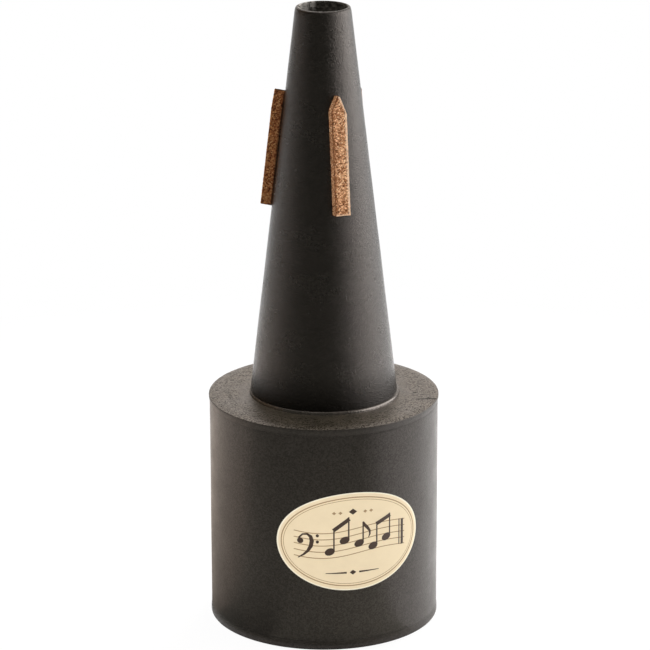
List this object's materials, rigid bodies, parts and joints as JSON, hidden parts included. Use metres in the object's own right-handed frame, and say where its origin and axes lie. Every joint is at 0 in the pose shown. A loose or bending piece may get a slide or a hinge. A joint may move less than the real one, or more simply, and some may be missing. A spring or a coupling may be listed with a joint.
{
  "type": "trombone mute",
  "caption": "Straight trombone mute: a hollow tapered fibre cone with cork strips, standing in a closed round resonator drum.",
  "frame": {"origin": "middle of the drum's underside", "axes": "+Z along the mute's axis from the drum to the tip, -Y towards the front, where the label and one cork strip are"},
  "size_m": [0.1106, 0.1106, 0.2986],
  "materials": {
    "moulded_fibre": "satin",
    "fibreboard": "matte",
    "fibre_tube": "satin",
    "base_board": "matte",
    "painted_glue": "satin",
    "cork": "matte",
    "label_paper": "satin"
  },
  "bodies": {
    "root": {"cone": "moulded_fibre", "top_disc": "fibreboard", "body_tube": "fibre_tube", "bottom_disc": "base_board", "cone_bead": "painted_glue", "cork_strip_front": "cork", "cork_strip_rear": "cork", "cork_strip_left": "cork", "label": "label_paper"}
  },
  "joints": []
}
